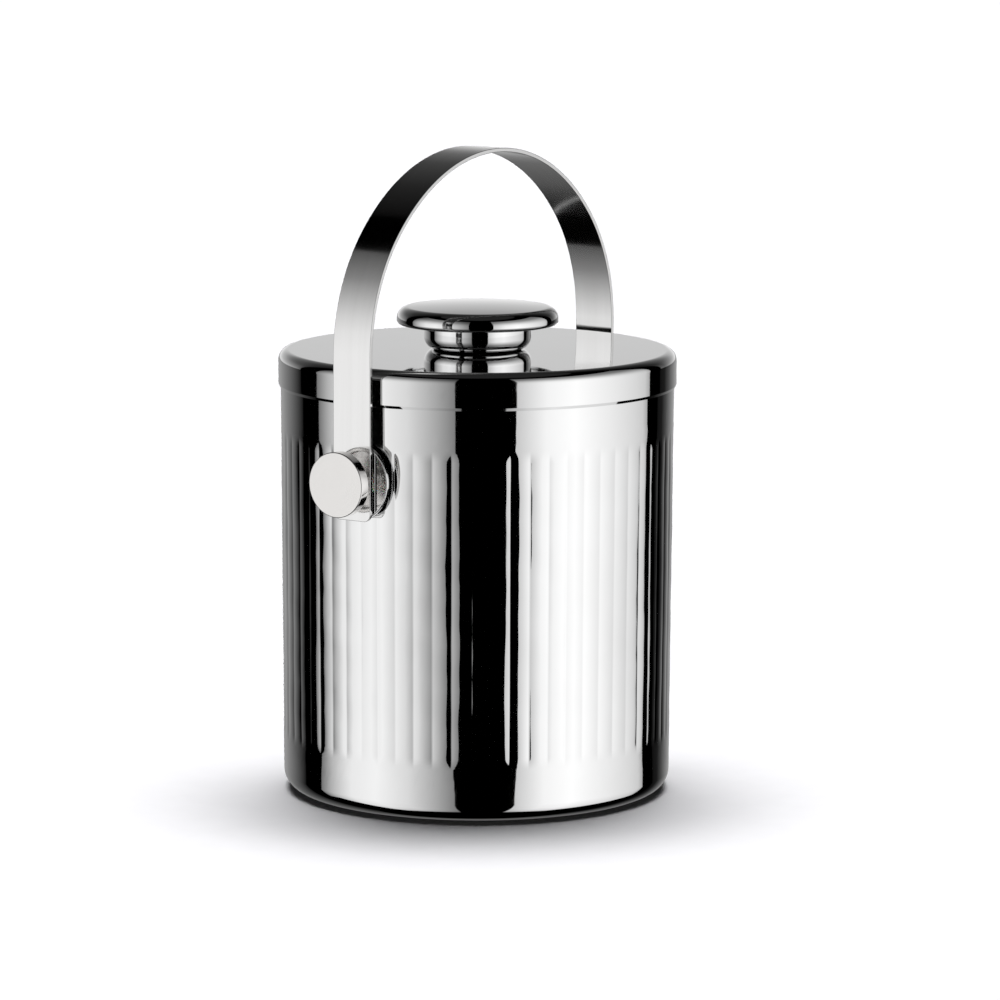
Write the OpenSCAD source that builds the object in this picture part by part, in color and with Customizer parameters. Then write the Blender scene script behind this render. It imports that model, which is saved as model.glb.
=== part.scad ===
// Lidded double-wall ice bucket: fluted steel body, plug lid with a mushroom knob, and a strap bail
// that turns on two shoulder screws. Origin at the centre of the base, +Z up, X along the bail's pivots.

/* [Body] */
// Outside radius of the body at its rim
body_r = 75; // [74.8:0.1:75]
// Height of the steel wall's top edge above the table
wall_top = 164.4; // [163:0.1:164.4]
// Lean of the wall away from vertical, in degrees, which makes the base a little narrower
draft = 0.36; // [0.1:0.01:0.5]
// Thickness of the outer sheet
wall_t = 0.7; // [0.5:0.05:0.8]
// Outside rounding where the wall turns under
base_round = 7; // [5:0.5:8]
// How far the foot ring stands below the steel
foot_proud = 0.8; // [0.5:0.1:1]
// Radius of the opening in the turned-in bottom
base_open_r = 54; // [53.6:0.1:56]

/* [Flutes] */
// Number of upright flutes round the wall
flute_count = 64; // [32:1:64]
// Height where the flutes start
flute_low = 24; // [20:1:40]
// Height where the flutes end
flute_high = 141; // [120:1:145]
// Depth of the valley between two flutes
flute_depth = 0.25; // [0.1:0.05:0.3]
// Radius of the tool that presses a valley
flute_tool_r = 3; // [2:0.5:4]

/* [Inner liner] */
// Inside radius of the ice compartment
liner_r = 65.5; // [65.3:0.1:65.8]
// Sheet thickness of the liner
liner_t = 0.6; // [0.5:0.1:0.6]
// Height of the compartment's floor
liner_floor = 10; // [10:0.5:14]
// Inside rounding at the compartment's floor
liner_round = 8; // [4:0.5:12]

/* [Lid] */
// Outside radius of the lid's skirt
lid_r = 75.85; // [75.85:0.05:76.2]
// Height of the skirt's lower edge
lid_low = 155.8; // [154:0.1:157]
// Height of the lid's flat top
lid_top = 169.7; // [169.7:0.1:171]
// Rounding between the top and the skirt
lid_round = 4; // [3:0.5:5]
// Sheet thickness of the lid cover
lid_t = 0.65; // [0.5:0.05:0.65]
// Outside radius of the plug that enters the liner
plug_r = 63.2; // [62:0.1:63.2]
// Height of the plug's lower face
plug_low = 157; // [155:0.5:157]

/* [Knob] */
// Outside radius of the knob's cap
cap_r = 30.8; // [28:0.1:34]
// Height of the cap's lower rim above the lid
cap_lift = 9.5; // [9:0.5:14]
// Height of the cap, rim to crown
cap_h = 7.6; // [7.5:0.1:9]
// Outside radius of the knob's neck
neck_r = 20.5; // [16:0.1:22]
// Rounding at the foot of the neck
neck_round = 4.8; // [3:0.1:6]

/* [Bail] */
// Distance from the body's axis to the outer face of each strap leg
bail_r = 80.2; // [80.2:0.1:81.2]
// Width of the strap
strap_w = 17; // [14:0.5:22]
// Thickness of the strap
strap_t = 1.5; // [1.2:0.1:1.5]
// Height of the pivot axis above the table
pivot_z = 128; // [118:1:130]
// Length of strap below the pivot axis
strap_tail = 14.5; // [12:0.5:20]
// Height where each leg starts to curve
arch_start = 174; // [170:1:180]
// Rise of the arch above that height, to its outer face
arch_rise = 72.5; // [72:0.5:76]
// Radius of the arch's side curves, at the outer face
arch_side_r = 66; // [64:0.5:68]

/* [Pivots] */
// Radius of the round button head
button_r = 12.2; // [10:0.1:14]
// Thickness of the button head
button_h = 4.4; // [3:0.1:6]
// Distance from the body's axis to the button's outer face
button_face = 90.3; // [89:0.1:92]
// Radius of the smooth shoulder that the bail turns on
shoulder_r = 4; // [3.5:0.1:4.2]
// Radial running clearance between shoulder and bush
running_gap = 0.05; // [0.02:0.01:0.1]
// Radius of the threaded end
thread_r = 2.5; // [2:0.1:2.5]
// Radius of the spacer's flange, between the bail and the wall
spacer_r = 14.6; // [11:0.1:15]

/* [Hidden] */
$fn = 240;

steel = [0.80, 0.81, 0.82];
satin_steel = [0.86, 0.85, 0.83];
dark_steel = [0.45, 0.46, 0.48];
silicone = [0.16, 0.16, 0.17];
nylon = [0.90, 0.90, 0.87];
foam = [0.93, 0.88, 0.66];

fit_gap = 0.02;
cut_over = 1;

// body
shell_low = foot_proud;
corner_z = shell_low + base_round;
tangent_z = corner_z - base_round * sin(draft);
corner_r = body_r - base_round * cos(draft) - tan(draft) * (wall_top - tangent_z);
rim_top = wall_top + liner_t;
shell_floor = shell_low + wall_t;

// base
plate_t = 0.7;
plate_r = 62;
plate_dish_r = 42;
plate_flange_r = 46;
plate_dish = 1.5;
foot_in_r = 46.5;
foot_out_r = 53.5;
plate_top = shell_floor + plate_dish + plate_t;

// insulation
foam_gap = 0.1;
foam_r = 58;
sleeve_low = 10;
sleeve_high = 162;
pocket_r = 17;

// lid
skirt_in_r = lid_r - lid_t;
seal_t = 1;
flange_low = rim_top + seal_t;
flange_top = flange_low + liner_t;
pan_flange_r = skirt_in_r - 0.25;
plug_round = 3;
seal_lip_r = 65;
seal_lip_low = 161;
seal_r = 71;
nut_pocket_r = 9;
nut_pocket_low = 160;

// knob
knob_t = 0.8;
cap_low = lid_top + cap_lift;
cap_top = cap_low + cap_h;
cap_shoulder = 4.6;
cap_curl = 1.6;
cap_crown = 0.9;
under_low = cap_low + 1;
under_r = cap_r - cap_curl + 0.3;
stud_hole_r = thread_r + 0.1;
stud_low = 162.8;
stud_head_r = 6;
stud_head_h = 2;
washer_r = 8;
washer_t = 1;
nut_h = 4;
nut_r = 8 / sqrt(3);

// arch: side curves and one crown curve, tangent to each other
side_x = bail_r - arch_side_r;
side_rise = arch_rise - arch_side_r;
crown_drop = (side_x * side_x - side_rise * side_rise) / (2 * side_rise);
crown_r = arch_rise + crown_drop;
crown_angle = atan(side_x / crown_drop);
strap_low = pivot_z - strap_tail;
strap_corner = 3;

// pivots, as distances from the body's axis
strap_in = bail_r - strap_t;
washer_gap = 0.1;
inner_washer_t = 0.6;
inner_washer_r = 8;
spacer_face = strap_in - washer_gap - inner_washer_t;
spacer_flange_t = 1.5;
spacer_hub_r = 9;
bush_r = 5;
bush_flange_r = 7;
bush_flange_t = 0.7;
button_back = button_face - button_h;
button_bevel = 0.5;
shoulder_end = body_r;
plate_in = 72;
plate_half = 12;
nut_end = plate_in - nut_h;
screw_end = nut_end - 0.6;
shell_hole_r = thread_r + 0.25;

// A filled cup outline, moved inwards by off along the wall's normal
module cup_outline(off, top) {
    tangent = [corner_r + (base_round - off) * cos(draft), corner_z - (base_round - off) * sin(draft)];
    top_r = body_r - off / cos(draft) + tan(draft) * (top - wall_top);
    translate([corner_r, corner_z]) circle(r = base_round - off);
    polygon([[0, shell_low + off], [corner_r, shell_low + off], [corner_r, corner_z], tangent,
             [top_r, top], [0, top]]);
}

module cup_solid(off, top) {
    rotate_extrude() intersection() {
        cup_outline(off, top);
        square([2 * body_r, 2 * top]);
    }
}

function wall_r(z) = body_r - tan(draft) * (wall_top - z);

// A rounded-corner disc outline from the axis out to radius r, between two heights, rounded below
module pan_outline(r, low, top, round_r) {
    translate([0, low + round_r]) square([r, top - low - round_r]);
    translate([0, low]) square([r - round_r, round_r + cut_over / 10]);
    translate([r - round_r, low + round_r]) intersection() {
        circle(r = round_r);
        translate([0, -round_r]) square(round_r);
    }
}

module ring(r_out, r_in, low, high) {
    rotate_extrude() translate([r_in, low]) square([r_out - r_in, high - low]);
}

module flute_cutter() {
    middle = (flute_low + flute_high) / 2;
    half = (flute_high - flute_low) / 2 - flute_tool_r;
    translate([wall_r(middle) + flute_tool_r - flute_depth, 0, middle]) rotate([0, draft, 0]) {
        cylinder(h = 2 * half, r = flute_tool_r, center = true, $fn = 48);
        for (end = [-1, 1])
            translate([0, 0, end * half]) sphere(r = flute_tool_r, $fn = 48);
    }
}

// Places a shape drawn along +Z on the pivot axis, at the right side (1) or the left side (-1)
module on_pivot(side) {
    translate([0, 0, pivot_z]) rotate([0, side * 90, 0]) children();
}

module pivot_holes(r, from, to) {
    for (side = [-1, 1])
        on_pivot(side) translate([0, 0, from]) cylinder(h = to - from, r = r);
}

module outer_shell() {
    color(steel) difference() {
        cup_solid(0, wall_top);
        cup_solid(wall_t, wall_top + cut_over);
        translate([0, 0, -cut_over]) cylinder(h = corner_z + cut_over, r = base_open_r);
        for (i = [0 : flute_count - 1])
            rotate([0, 0, i * 360 / flute_count]) flute_cutter();
        pivot_holes(shell_hole_r, body_r - 5, body_r + 5);
    }
}

module inner_liner() {
    color(satin_steel) rotate_extrude() {
        difference() {
            pan_outline(liner_r + liner_t, liner_floor - liner_t, rim_top, liner_round + liner_t);
            pan_outline(liner_r, liner_floor, rim_top + cut_over, liner_round);
        }
        translate([liner_r + liner_t / 2, wall_top]) square([body_r - liner_r - liner_t / 2, liner_t]);
    }
}

module wall_insulation() {
    low_r = wall_r(sleeve_low) - wall_t - foam_gap;
    high_r = wall_r(sleeve_high) - wall_t - foam_gap;
    in_r = liner_r + liner_t + foam_gap;
    color(foam) difference() {
        rotate_extrude()
            polygon([[in_r, sleeve_low], [low_r - 1, sleeve_low], [low_r, sleeve_low + 5],
                     [high_r, sleeve_high], [in_r, sleeve_high]]);
        pivot_holes(pocket_r, liner_r - 5, body_r);
    }
}

module floor_insulation() {
    color(foam) translate([0, 0, plate_top + foam_gap])
        cylinder(h = liner_floor - liner_t - plate_top - 2 * foam_gap, r = foam_r);
}

module base_plate() {
    low = shell_floor;
    color(satin_steel) rotate_extrude()
        polygon([[0, low + plate_dish], [plate_dish_r, low + plate_dish], [plate_flange_r, low],
                 [plate_r, low], [plate_r, low + plate_t], [plate_flange_r + plate_t / 2, low + plate_t],
                 [plate_dish_r + plate_t / 2, plate_top], [0, plate_top]]);
}

module foot_ring() {
    color(silicone) ring(foot_out_r, foot_in_r, 0, shell_floor);
}

module backing_plate(side) {
    color(satin_steel) difference() {
        intersection() {
            on_pivot(side) translate([-plate_half, -plate_half, plate_in])
                cube([2 * plate_half, 2 * plate_half, 5]);
            cup_solid(wall_t + fit_gap, wall_top);
        }
        pivot_holes(shell_hole_r, plate_in - cut_over, body_r);
    }
}

module pivot_spacer(side) {
    flange_back = spacer_face - spacer_flange_t;
    color(steel) difference() {
        on_pivot(side) rotate_extrude()
            polygon([[0, body_r - 4], [spacer_hub_r, body_r - 4], [spacer_hub_r, flange_back],
                     [spacer_r, flange_back], [spacer_r, spacer_face], [0, spacer_face]]);
        cup_solid(-fit_gap, wall_top);
        pivot_holes(shoulder_r + running_gap, body_r - 5, spacer_face + cut_over);
    }
}

module inner_washer(side) {
    color(nylon) on_pivot(side)
        ring(inner_washer_r, shoulder_r + running_gap, spacer_face, spacer_face + inner_washer_t);
}

module pivot_screw(side) {
    color(satin_steel) on_pivot(side) rotate_extrude()
        polygon([[0, screw_end], [thread_r, screw_end], [thread_r, shoulder_end],
                 [shoulder_r, shoulder_end], [shoulder_r, button_back],
                 [button_r - button_bevel, button_back], [button_r, button_back + button_bevel],
                 [button_r, button_face - button_bevel], [button_r - button_bevel, button_face],
                 [0, button_face]]);
}

module lock_nut(side) {
    color(dark_steel) on_pivot(side) translate([0, 0, nut_end]) difference() {
        cylinder(h = nut_h, r = nut_r, $fn = 6);
        translate([0, 0, -cut_over]) cylinder(h = nut_h + 2 * cut_over, r = thread_r + fit_gap);
    }
}

// One band of the arch, seen from the front: a ring of outside radius r kept between two angles
module arch_band(r, centre, from, to) {
    reach = 2 * r;
    middle = (from + to) / 2;
    translate(centre) intersection() {
        difference() {
            circle(r = r);
            circle(r = r - strap_t);
        }
        polygon([[0, 0], reach * [cos(from), sin(from)], reach * [cos(middle), sin(middle)],
                 reach * [cos(to), sin(to)]]);
    }
}

module arch_outline() {
    arch_band(crown_r, [0, arch_start - crown_drop], 90 - crown_angle, 90 + crown_angle);
    arch_band(arch_side_r, [side_x, arch_start], 0, 90 - crown_angle);
    arch_band(arch_side_r, [-side_x, arch_start], 90 + crown_angle, 180);
    for (leg = [-bail_r, bail_r - strap_t])
        translate([leg, strap_low]) square([strap_t, arch_start - strap_low]);
}

// The strap seen from the side, with rounded lower corners
module strap_outline() {
    half = strap_w / 2;
    translate([-half, strap_low + strap_corner]) square([strap_w, 2 * arch_start]);
    translate([strap_corner - half, strap_low]) square([strap_w - 2 * strap_corner, 2 * strap_corner]);
    for (corner = [strap_corner - half, half - strap_corner])
        translate([corner, strap_low + strap_corner]) circle(r = strap_corner);
}

module handle_strap() {
    color(steel) difference() {
        intersection() {
            rotate([90, 0, 0]) linear_extrude(height = 2 * strap_w, center = true) arch_outline();
            rotate([90, 0, 90]) linear_extrude(height = 3 * bail_r, center = true) strap_outline();
        }
        pivot_holes(bush_r, strap_in - 2, bail_r + 2);
    }
}

module handle_bush(side) {
    color(nylon) on_pivot(side) {
        ring(bush_r, shoulder_r + running_gap, strap_in, bail_r);
        ring(bush_flange_r, shoulder_r + running_gap, bail_r, bail_r + bush_flange_t);
    }
}

// The lid cover's outline, moved inwards by off
module cover_outline(off) {
    r = lid_r - off;
    top = lid_top - off;
    round_r = lid_round - off;
    translate([0, lid_low]) square([r, top - lid_low - round_r]);
    translate([0, lid_top - lid_round]) square([r - round_r, round_r]);
    translate([r - round_r, top - round_r]) circle(r = round_r);
}

module lid_cover() {
    color(steel) rotate_extrude() difference() {
        intersection() {
            cover_outline(0);
            translate([stud_hole_r, 0]) square([2 * lid_r, 2 * lid_top]);
        }
        difference() {
            cover_outline(lid_t);
            translate([0, lid_top - lid_t]) square([2 * lid_r, lid_t]);
        }
        translate([0, lid_low - cut_over]) square([skirt_in_r, cut_over * 2]);
    }
}

module lid_liner() {
    color(satin_steel) rotate_extrude() {
        difference() {
            pan_outline(plug_r, plug_low, flange_top, plug_round);
            pan_outline(plug_r - liner_t, plug_low + liner_t, flange_top + cut_over, plug_round - liner_t);
        }
        translate([plug_r - liner_t / 2, flange_low])
            square([pan_flange_r - plug_r + liner_t / 2, liner_t]);
    }
}

module lid_insulation() {
    low = plug_low + liner_t + foam_gap;
    high = lid_top - lid_t - foam_gap;
    side_r = plug_r - liner_t - foam_gap;
    color(foam) difference() {
        rotate_extrude() {
            translate([0, low]) square([side_r - plug_round, high - low]);
            translate([0, plug_low + plug_round]) square([side_r, high - plug_low - plug_round]);
            translate([0, flange_top + foam_gap])
                square([lid_r - lid_round - 1, high - flange_top - foam_gap]);
        }
        translate([0, 0, nut_pocket_low]) cylinder(h = lid_top - nut_pocket_low, r = nut_pocket_r);
    }
}

module lid_seal() {
    color(silicone) {
        ring(seal_lip_r, plug_r, seal_lip_low, flange_low);
        ring(seal_r, seal_lip_r, rim_top, flange_low);
    }
}

// The cap's outline, moved inwards by off: a curled lower edge, an upright side, a round shoulder
// and a low crown
module cap_outline(off) {
    shoulder_x = cap_r - cap_shoulder;
    shoulder_z = cap_top - cap_crown - cap_shoulder;
    crown_ball = (shoulder_x * shoulder_x + cap_crown * cap_crown) / (2 * cap_crown);
    intersection() {
        square([cap_r + cap_shoulder, 2 * cap_top]);
        union() {
            translate([shoulder_x, shoulder_z]) circle(r = cap_shoulder - off);
            translate([cap_r - cap_curl, cap_low + cap_curl]) circle(r = cap_curl - off);
            translate([0, cap_low - cut_over]) square([cap_r - cap_curl, shoulder_z - cap_low + cut_over]);
            translate([0, cap_low + cap_curl]) square([cap_r - off, shoulder_z - cap_low - cap_curl]);
            translate([0, shoulder_z - cut_over])
                square([shoulder_x, cap_shoulder - off + cut_over]);
            intersection() {
                translate([0, cap_top - crown_ball]) circle(r = crown_ball - off, $fn = 720);
                translate([0, shoulder_z]) square([shoulder_x, 2 * cap_shoulder]);
            }
        }
    }
}

module knob_cap() {
    color(steel) rotate_extrude() difference() {
        intersection() {
            cap_outline(0);
            translate([0, cap_low]) square([2 * cap_r, 2 * cap_r]);
        }
        cap_outline(knob_t);
    }
}

module knob_underplate() {
    color(steel) ring(under_r, stud_hole_r, under_low, under_low + knob_t);
}

module knob_neck() {
    color(steel) rotate_extrude() difference() {
        pan_outline(neck_r, lid_top, under_low, neck_round);
        pan_outline(neck_r - knob_t, lid_top + knob_t, under_low + cut_over, neck_round - knob_t);
        translate([0, lid_top - cut_over]) square([stud_hole_r, 4 * cut_over]);
    }
}

module knob_stud() {
    head_low = under_low + knob_t;
    color(satin_steel) rotate_extrude()
        polygon([[0, stud_low], [thread_r, stud_low], [thread_r, head_low], [stud_head_r, head_low],
                 [stud_head_r, head_low + stud_head_h], [0, head_low + stud_head_h]]);
}

module knob_washer() {
    color(satin_steel) ring(washer_r, stud_hole_r, lid_top - lid_t - washer_t, lid_top - lid_t);
}

module knob_nut() {
    color(dark_steel) translate([0, 0, lid_top - lid_t - washer_t - nut_h]) difference() {
        cylinder(h = nut_h, r = nut_r, $fn = 6);
        translate([0, 0, -cut_over]) cylinder(h = nut_h + 2 * cut_over, r = thread_r + fit_gap);
    }
}

outer_shell();
inner_liner();
wall_insulation();
floor_insulation();
base_plate();
foot_ring();
backing_plate(-1);  // left_backing_plate
backing_plate(1);  // right_backing_plate
pivot_spacer(-1);  // left_pivot_spacer
pivot_spacer(1);  // right_pivot_spacer
inner_washer(-1);  // left_inner_washer
inner_washer(1);  // right_inner_washer
pivot_screw(-1);  // left_pivot_screw
pivot_screw(1);  // right_pivot_screw
lock_nut(-1);  // left_lock_nut
lock_nut(1);  // right_lock_nut
handle_strap();
handle_bush(-1);  // left_handle_bush
handle_bush(1);  // right_handle_bush
lid_cover();
lid_liner();
lid_insulation();
lid_seal();
knob_cap();
knob_underplate();
knob_neck();
knob_stud();
knob_washer();
knob_nut();
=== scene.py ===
import math

import bpy
from mathutils import Matrix, Vector


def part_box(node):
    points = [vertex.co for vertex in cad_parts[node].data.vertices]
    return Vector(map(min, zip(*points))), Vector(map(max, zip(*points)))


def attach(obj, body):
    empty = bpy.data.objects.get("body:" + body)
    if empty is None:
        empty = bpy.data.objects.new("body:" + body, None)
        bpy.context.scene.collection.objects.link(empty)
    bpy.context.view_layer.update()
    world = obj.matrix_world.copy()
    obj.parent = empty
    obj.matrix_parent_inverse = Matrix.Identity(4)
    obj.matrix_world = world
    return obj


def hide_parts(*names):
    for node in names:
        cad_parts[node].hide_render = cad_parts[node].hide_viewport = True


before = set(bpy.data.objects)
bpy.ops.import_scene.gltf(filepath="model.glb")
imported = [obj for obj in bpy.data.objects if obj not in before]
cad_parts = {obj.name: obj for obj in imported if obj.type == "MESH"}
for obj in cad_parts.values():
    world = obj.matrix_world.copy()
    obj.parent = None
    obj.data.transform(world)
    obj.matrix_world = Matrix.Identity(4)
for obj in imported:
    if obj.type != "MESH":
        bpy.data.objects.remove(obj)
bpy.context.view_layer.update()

# Looks of a lidded ice bucket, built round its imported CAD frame. Metres, +Z up, bail pivots along X.

MM = 0.001
WELD = 1e-7
ARC_STEPS = 10
IDENTITY = Matrix.Identity(4)


# ---------------------------------------------------------------- sizes read from the frame

def low(node, axis):
    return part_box(node)[0][axis]


def high(node, axis):
    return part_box(node)[1][axis]


def span(node, axis):
    return high(node, axis) - low(node, axis)


RIM_R = high("inner_liner", 0)
RIM_TOP = high("inner_liner", 2)
WALL_TOP = high("outer_shell", 2)
SHELL_LOW = low("outer_shell", 2)
LID_R = high("lid_cover", 0)
LID_LOW = low("lid_cover", 2)
LID_TOP = high("lid_cover", 2)
STRAP_R = high("handle_strap", 0)
STRAP_TOP = high("handle_strap", 2)
STRAP_LOW = low("handle_strap", 2)
STRAP_HALF = high("handle_strap", 1)
BUTTON_FACE = high("right_pivot_screw", 0)
BUTTON_R = high("right_pivot_screw", 1)
SPACER_R = high("right_pivot_spacer", 1)
SPACER_FACE = high("right_pivot_spacer", 0)
PIVOT_Z = (low("right_pivot_screw", 2) + high("right_pivot_screw", 2)) / 2
CAP_R = high("knob_cap", 0)
CAP_LOW = low("knob_cap", 2)
CAP_TOP = high("knob_cap", 2)
NECK_R = high("knob_neck", 0)
NECK_TOP = high("knob_neck", 2)
PLUG_LOW = low("lid_liner", 2)

# sizes that a box doesn't tell
DRAFT = math.radians(0.36)
WALL_T = 0.7 * MM
BASE_ROUND = 7 * MM
BASE_OPEN_R = 54 * MM
BASE_PLATE_T = 0.7 * MM
FLUTES = 64
FLUTE_LOW = 20.5 * MM
FLUTE_HIGH = 140.9 * MM
FLUTE_FADE = 5 * MM
LOBE_R = 23.4 * MM
VALLEY_HALF = 0.4 * MM
SHELL_WAVE = 0.06 * MM
LID_WAVE = 0.004 * MM
FOOT_IN_R = 46.5 * MM
FOOT_OUT_R = 53.5 * MM
FOOT_GROOVE = 0.45 * MM
LINER_T = 0.6 * MM
LINER_R = 65.5 * MM
LINER_ROUND = 8 * MM
LID_T = 0.65 * MM
LID_ROUND = 4 * MM
HEM_DEPTH = 0.5 * MM
HEM_HEIGHT = 1.1 * MM
PLUG_R = 63.2 * MM
PLUG_ROUND = 3 * MM
SEAL_LIP_R = 65 * MM
STRAP_T = 1.5 * MM
STRAP_CORNER = 3 * MM
STRAP_EDGE = 0.25 * MM
STRAP_FLAT = 14 * MM
ARCH_START = 174 * MM
ARCH_SIDE_R = 66 * MM
BUSH_R = 5 * MM
BUSH_FLANGE_R = 7 * MM
SHOULDER_R = 4 * MM
SHOULDER_START = 75 * MM
BORE_R = 4.05 * MM
BUTTON_H = 4.4 * MM
BUTTON_HOLLOW = 3 * MM
BUTTON_LIP = 1.4 * MM
SPACER_HUB_R = 9 * MM
SPACER_FLANGE_T = 1.5 * MM
SPACER_SEAT = 74 * MM
THREAD_R = 2.5 * MM
THREAD_PITCH = 0.8 * MM
SCREW_HOLE_R = THREAD_R + 0.1 * MM
STUD_HEAD_H = 2 * MM
KNOB_T = 0.8 * MM
NECK_ROUND = 4.8 * MM
CAP_SHOULDER = 4.6 * MM
CAP_CURL = 1.6 * MM
CAP_CROWN = 0.9 * MM

# columns round a turned piece
COLUMNS = 192
KNOB_COLUMNS = 256
LID_COLUMNS = 320
BUTTON_COLUMNS = 128
STUD_COLUMNS = 48
NUT_COLUMNS = 72


def wall_r(z):
    return RIM_R - math.tan(DRAFT) * (WALL_TOP - z)


# ---------------------------------------------------------------- outlines and skins

def edge_normal(a, b):
    """The outward normal of an edge of a counter-clockwise outline."""
    along = (b - a).normalized()
    return Vector((along.y, -along.x))


def rounded_corner(before, corner, after, radius):
    """A round corner, as (point, normal) pairs with exact normals."""
    back = (before - corner).normalized()
    on = (after - corner).normalized()
    half = back.angle(on) / 2
    centre = corner + (back + on).normalized() * (radius / math.sin(half))
    start = corner + back * (radius / math.tan(half)) - centre
    end = corner + on * (radius / math.tan(half)) - centre
    turn = math.pi - 2 * half
    side = 1 if edge_normal(before, corner).dot(start) > 0 else -1
    steps = max(2, math.ceil(turn / math.radians(90) * ARC_STEPS))
    pairs = []
    for i in range(steps + 1):
        share = i / steps
        spoke = start * math.sin(turn * (1 - share)) + end * math.sin(turn * share)
        spoke.normalize()
        pairs.append((centre + spoke * radius, spoke * side))
    return pairs


def outline(*corners):
    """A closed outline of corners (across, up) or (across, up, rounding), as rows of (point, normal in,
    normal out)."""
    points = [Vector(c[:2]) for c in corners]
    radii = [c[2] if len(c) > 2 else 0 for c in corners]
    count = len(points)
    area = sum(points[i - 1].cross(points[i]) for i in range(count))
    if area < 0:
        points.reverse()
        radii.reverse()
    rows = []
    for i, corner in enumerate(points):
        before = points[i - 1]
        after = points[(i + 1) % count]
        if radii[i]:
            rows += [(p, n, n) for p, n in rounded_corner(before, corner, after, radii[i])]
        else:
            rows.append((corner, edge_normal(before, corner), edge_normal(corner, after)))
    return rows


def even_angles(count):
    return [math.tau * i / count for i in range(count)]


def bent(point, normal, bend):
    """A point moved by bend, and its normal turned with the surface."""
    if not bend:
        return point, normal
    step = 1e-6
    moved = bend(point)
    columns = []
    for axis in range(3):
        nudge = Vector((0, 0, 0))
        nudge[axis] = step
        columns.append((bend(point + nudge) - moved) / step)
    x, y, z = columns
    turned = y.cross(z) * normal.x + z.cross(x) * normal.y + x.cross(y) * normal.z
    return moved, turned.normalized()


class Skin:
    """Faces with a normal at each corner. Corners at the same place share a vertex."""

    def __init__(self):
        self.points = []
        self.index = {}
        self.faces = []
        self.normals = []
        self.marks = []

    def corner(self, point):
        key = tuple(round(c / WELD) for c in point)
        if key not in self.index:
            self.index[key] = len(self.points)
            self.points.append(point)
        return self.index[key]

    def face(self, *corners, marks=None):
        """corners are (point, normal); marks are (u, v) pairs for the finish to follow."""
        ids = []
        kept = []
        for i, (point, _) in enumerate(corners):
            at = self.corner(point)
            if at not in ids:
                ids.append(at)
                kept.append(i)
        if len(ids) < 3:
            return
        if self.faces_inward([corners[i] for i in kept]):
            ids.reverse()
            kept.reverse()
        self.faces.append(ids)
        self.normals += [corners[i][1] for i in kept]
        self.marks += [marks[i] if marks else (0, 0) for i in kept]

    def faces_inward(self, corners):
        """Whether the corners run the wrong way round for their normals."""
        around = Vector((0, 0, 0))
        outward = Vector((0, 0, 0))
        for i, (point, normal) in enumerate(corners):
            around += corners[i - 1][0].cross(point)
            outward += normal
        return around.dot(outward) < 0

    def lathe(self, rows, angles=None, bend=None):
        """Turns an outline round the Z axis."""
        spokes = [(math.cos(a), math.sin(a)) for a in angles or even_angles(COLUMNS)]
        rings = []
        for point, normal_in, normal_out in rows:
            ring = []
            for c, s in spokes:
                at = Vector((point.x * c, point.x * s, point.y))
                into = Vector((normal_in.x * c, normal_in.x * s, normal_in.y))
                moved, turned = bent(at, into, bend)
                turned_out = turned
                if normal_in != normal_out:
                    out = Vector((normal_out.x * c, normal_out.x * s, normal_out.y))
                    turned_out = bent(at, out, bend)[1]
                ring.append((moved, turned, turned_out))
            rings.append(ring)
        for i, ring in enumerate(rings):
            above = rings[(i + 1) % len(rings)]
            if rows[i][0].x < WELD and rows[(i + 1) % len(rows)][0].x < WELD:
                continue
            for j in range(len(spokes)):
                k = (j + 1) % len(spokes)
                self.face((ring[j][0], ring[j][2]), (ring[k][0], ring[k][2]),
                          (above[k][0], above[k][1]), (above[j][0], above[j][1]))
        return self

    def piece(self, name, body, slot, *nodes, place=IDENTITY):
        """Makes the Blender object, riding on a CAD body and standing for CAD nodes."""
        mesh = bpy.data.meshes.new(name)
        mesh.from_pydata([tuple(p) for p in self.points], [], self.faces)
        mesh.polygons.foreach_set("use_smooth", [True] * len(self.faces))
        layer = mesh.uv_layers.new(name="marks")
        layer.data.foreach_set("uv", [c for mark in self.marks for c in mark])
        mesh.normals_split_custom_set([tuple(n) for n in self.normals])
        mesh.materials.append(FINISH[slot])
        obj = bpy.data.objects.new(name, mesh)
        bpy.context.scene.collection.objects.link(obj)
        obj.matrix_world = place
        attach(obj, body)
        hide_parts(*nodes)


def ring_outline(inner, outer, bottom, top, rounding):
    corners = ((inner, bottom), (outer, bottom), (outer, top), (inner, top))
    return outline(*[(across, up, rounding) for across, up in corners])


# ---------------------------------------------------------------- finishes

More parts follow.
